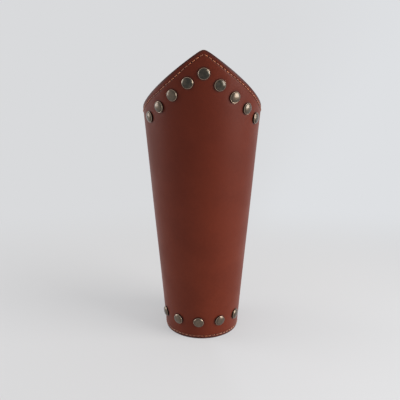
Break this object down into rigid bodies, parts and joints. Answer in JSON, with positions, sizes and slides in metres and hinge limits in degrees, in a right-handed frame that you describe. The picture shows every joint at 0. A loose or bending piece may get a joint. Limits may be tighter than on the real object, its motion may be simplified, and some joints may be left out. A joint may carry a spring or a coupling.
{
  "type": "leather bracer",
  "caption": "Conical leather forearm guard with a peaked elbow rim, domed rivets, stitched lining and buckled straps across its back opening.",
  "frame": {"origin": "on the cone's axis, in the plane of the wrist rim", "axes": "+Z along the forearm from wrist to elbow, the peak faces -Y and the back opening faces +Y"},
  "size_m": [0.1, 0.1079, 0.25],
  "materials": {
    "shell_leather": "red-brown waxed leather with a soft sheen",
    "strap_leather": "dark brown bridle leather",
    "lining_leather": "undyed suede side",
    "thread": "waxed thread",
    "rivet_metal": "antiqued, dark in the middle and worn bright at the rim",
    "buckle_metal": "antiqued"
  },
  "bodies": {
    "shell": {"outer_leather": "shell_leather", "lining": "lining_leather", "peak_stitching": "thread", "wrist_stitching": "thread", "left_edge_stitching": "thread", "right_edge_stitching": "thread", "peak_rivet_caps": "rivet_metal", "peak_rivet_washers": "rivet_metal", "wrist_rivet_caps": "rivet_metal", "wrist_rivet_washers": "rivet_metal", "wrist_strap": "strap_leather", "wrist_strap_rivet_caps": "rivet_metal", "wrist_strap_rivet_washers": "rivet_metal", "wrist_chape": "strap_leather", "wrist_chape_rivet_caps": "rivet_metal", "wrist_chape_rivet_washers": "rivet_metal", "middle_strap": "strap_leather", "middle_strap_rivet_caps": "rivet_metal", "middle_strap_rivet_washers": "rivet_metal", "middle_chape": "strap_leather", "middle_chape_rivet_caps": "rivet_metal", "middle_chape_rivet_washers": "rivet_metal", "elbow_strap": "strap_leather", "elbow_strap_rivet_caps": "rivet_metal", "elbow_strap_rivet_washers": "rivet_metal", "elbow_chape": "strap_leather", "elbow_chape_rivet_caps": "rivet_metal", "elbow_chape_rivet_washers": "rivet_metal"},
    "wrist_buckle": {"wrist_buckle_frame": "buckle_metal"},
    "wrist_prong": {"wrist_buckle_prong": "buckle_metal"},
    "wrist_tongue": {"wrist_strap_tongue": "strap_leather"},
    "middle_buckle": {"middle_buckle_frame": "buckle_metal"},
    "middle_prong": {"middle_buckle_prong": "buckle_metal"},
    "middle_tongue": {"middle_strap_tongue": "strap_leather"},
    "elbow_buckle": {"elbow_buckle_frame": "buckle_metal"},
    "elbow_prong": {"elbow_buckle_prong": "buckle_metal"},
    "elbow_tongue": {"elbow_strap_tongue": "strap_leather"}
  },
  "joints": [
    {"name": "wrist_buckle_lift", "type": "hinge", "parent": "shell", "child": "wrist_buckle", "pos_m": [-0.00871, 0.03542, 0.03805], "axis": [0, 0.0829, 0.9966], "range_deg": [0, 10.5]},
    {"name": "wrist_tongue_fold", "type": "hinge", "parent": "wrist_buckle", "child": "wrist_tongue", "pos_m": [0.00573, 0.03943, 0.03771], "axis": [0, -0.0829, -0.9966], "range_deg": [0, 130], "deforming": ["wrist_strap_tongue"]},
    {"name": "wrist_prong_swing", "type": "hinge", "parent": "wrist_buckle", "child": "wrist_prong", "pos_m": [-0.00871, 0.03542, 0.03805], "axis": [0, 0.0829, 0.9966], "range_deg": [0, 33]},
    {"name": "middle_buckle_lift", "type": "hinge", "parent": "shell", "child": "middle_buckle", "pos_m": [-0.01053, 0.04011, 0.09807], "axis": [0, 0.0829, 0.9966], "range_deg": [0, 10.5]},
    {"name": "middle_tongue_fold", "type": "hinge", "parent": "middle_buckle", "child": "middle_tongue", "pos_m": [0.00376, 0.04468, 0.09769], "axis": [0, -0.0829, -0.9966], "range_deg": [0, 130], "deforming": ["middle_strap_tongue"]},
    {"name": "middle_prong_swing", "type": "hinge", "parent": "middle_buckle", "child": "middle_prong", "pos_m": [-0.01053, 0.04011, 0.09807], "axis": [0, 0.0829, 0.9966], "range_deg": [0, 33]},
    {"name": "elbow_buckle_lift", "type": "hinge", "parent": "shell", "child": "elbow_buckle", "pos_m": [-0.01233, 0.04479, 0.1581], "axis": [0, 0.0829, 0.9966], "range_deg": [0, 10.5]},
    {"name": "elbow_tongue_fold", "type": "hinge", "parent": "elbow_buckle", "child": "elbow_tongue", "pos_m": [0.0018, 0.04979, 0.15768], "axis": [0, -0.0829, -0.9966], "range_deg": [0, 130], "deforming": ["elbow_strap_tongue"]},
    {"name": "elbow_prong_swing", "type": "hinge", "parent": "elbow_buckle", "child": "elbow_prong", "pos_m": [-0.01233, 0.04479, 0.1581], "axis": [0, 0.0829, 0.9966], "range_deg": [0, 33]}
  ],
  "couplings": [
    {"joint": "wrist_buckle_lift", "follows": "wrist_tongue_fold", "ratio": 0.08},
    {"joint": "wrist_prong_swing", "follows": "wrist_tongue_fold", "ratio": 0.25},
    {"joint": "middle_buckle_lift", "follows": "middle_tongue_fold", "ratio": 0.08},
    {"joint": "middle_prong_swing", "follows": "middle_tongue_fold", "ratio": 0.25},
    {"joint": "elbow_buckle_lift", "follows": "elbow_tongue_fold", "ratio": 0.08},
    {"joint": "elbow_prong_swing", "follows": "elbow_tongue_fold", "ratio": 0.25}
  ]
}
